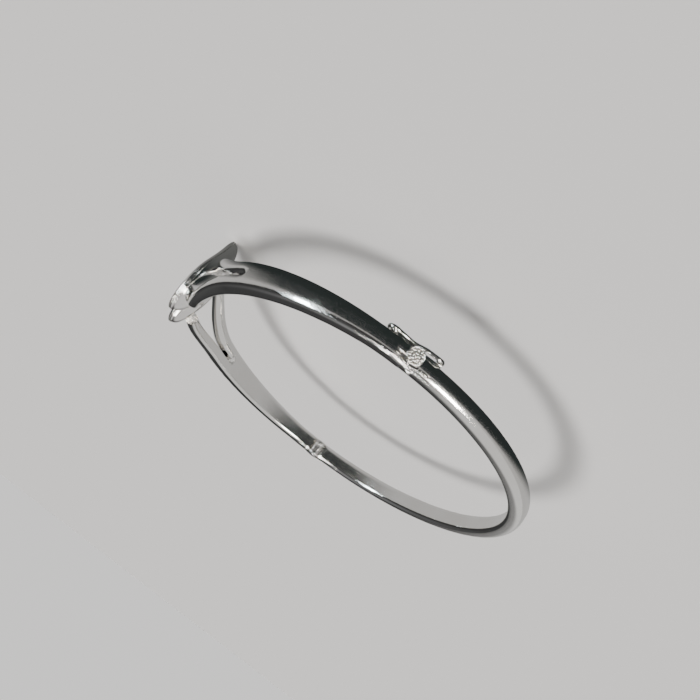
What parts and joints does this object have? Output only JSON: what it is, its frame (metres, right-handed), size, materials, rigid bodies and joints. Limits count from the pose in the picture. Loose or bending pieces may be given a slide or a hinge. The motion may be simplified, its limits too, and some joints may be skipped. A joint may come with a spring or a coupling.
{
  "type": "hinged bangle bracelet",
  "caption": "Oval hinged bangle bracelet with a puffed heart on split shoulders, a box clasp with a thumb disc, and a figure-eight safety catch.",
  "frame": {"origin": "centre of the oval wrist opening, halfway through the width of the band", "axes": "+Z along the wrist, +X from the clasp to the main hinge, +Y from the heart to the back of the wrist"},
  "size_m": [0.0612, 0.0498, 0.0125],
  "materials": {
    "polished_silver": "mirror polished, fine wear scratches",
    "hinge_silver": "polished",
    "spring_silver": "satin"
  },
  "bodies": {
    "front_half": {"heart_front": "polished_silver", "heart_back": "polished_silver", "front_arm_clasp_side": "polished_silver", "front_arm_hinge_side": "polished_silver", "clasp_box": "polished_silver", "clasp_box_floor": "spring_silver", "ball_post": "polished_silver", "ball": "polished_silver", "front_hinge_plate": "hinge_silver", "front_knuckle_upper": "hinge_silver", "front_knuckle_lower": "hinge_silver", "hinge_pin": "hinge_silver"},
    "back_half": {"back_arm": "polished_silver", "back_clasp_plate": "polished_silver", "side_bead": "polished_silver", "tongue_base": "spring_silver", "back_hinge_plate": "hinge_silver", "middle_knuckle": "hinge_silver", "catch_tube": "hinge_silver", "catch_bracket": "hinge_silver"},
    "thumb_catch": {"tongue_spring": "spring_silver", "thumb_stem": "spring_silver", "thumb_disc": "polished_silver"},
    "safety_catch": {"catch_loop": "polished_silver", "catch_pin": "polished_silver"}
  },
  "joints": [
    {"name": "main_hinge", "type": "hinge", "parent": "front_half", "child": "back_half", "pos_m": [0.02915, 0, 0], "axis": [0, 0, -1], "range_deg": [0, 55]},
    {"name": "thumb_press", "type": "hinge", "parent": "back_half", "child": "thumb_catch", "pos_m": [-0.02908, -0.0031, 0], "axis": [0, 0, -1], "range_deg": [0, 5.2], "stiffness_Nm_per_rad": 0.02},
    {"name": "safety_flip", "type": "hinge", "parent": "back_half", "child": "safety_catch", "pos_m": [-0.02885, 0.003, -0.00159], "axis": [1, 0, 0], "range_deg": [0, 165]}
  ]
}
